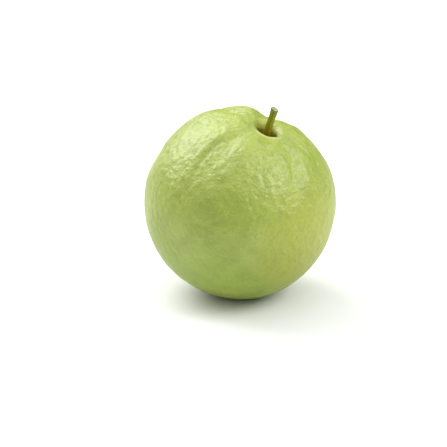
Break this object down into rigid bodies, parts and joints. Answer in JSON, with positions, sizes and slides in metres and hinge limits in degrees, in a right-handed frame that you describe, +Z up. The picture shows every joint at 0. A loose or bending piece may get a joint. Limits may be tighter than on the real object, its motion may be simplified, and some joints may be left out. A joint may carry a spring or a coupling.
{
  "type": "guava",
  "caption": "Whole green guava resting on its side of the blossom end, with a cut woody stem in its stem pit and a dried calyx underneath.",
  "frame": {"origin": "middle of the small flat spot of skin that the fruit rests on", "axes": "+Z up from the surface it rests on; the view of the picture looks along +Y with +X to the right; the stem leans towards +X and -Y"},
  "size_m": [0.0951, 0.096, 0.0991],
  "materials": {
    "fruit_skin": "satin waxy skin, pitted like fine orange peel",
    "stem_bark": "matt green bark with a pale cut end",
    "dried_calyx": "matt, dry and brown"
  },
  "bodies": {
    "root": {"fruit": "fruit_skin", "stem": "stem_bark", "calyx": "dried_calyx"}
  },
  "joints": []
}
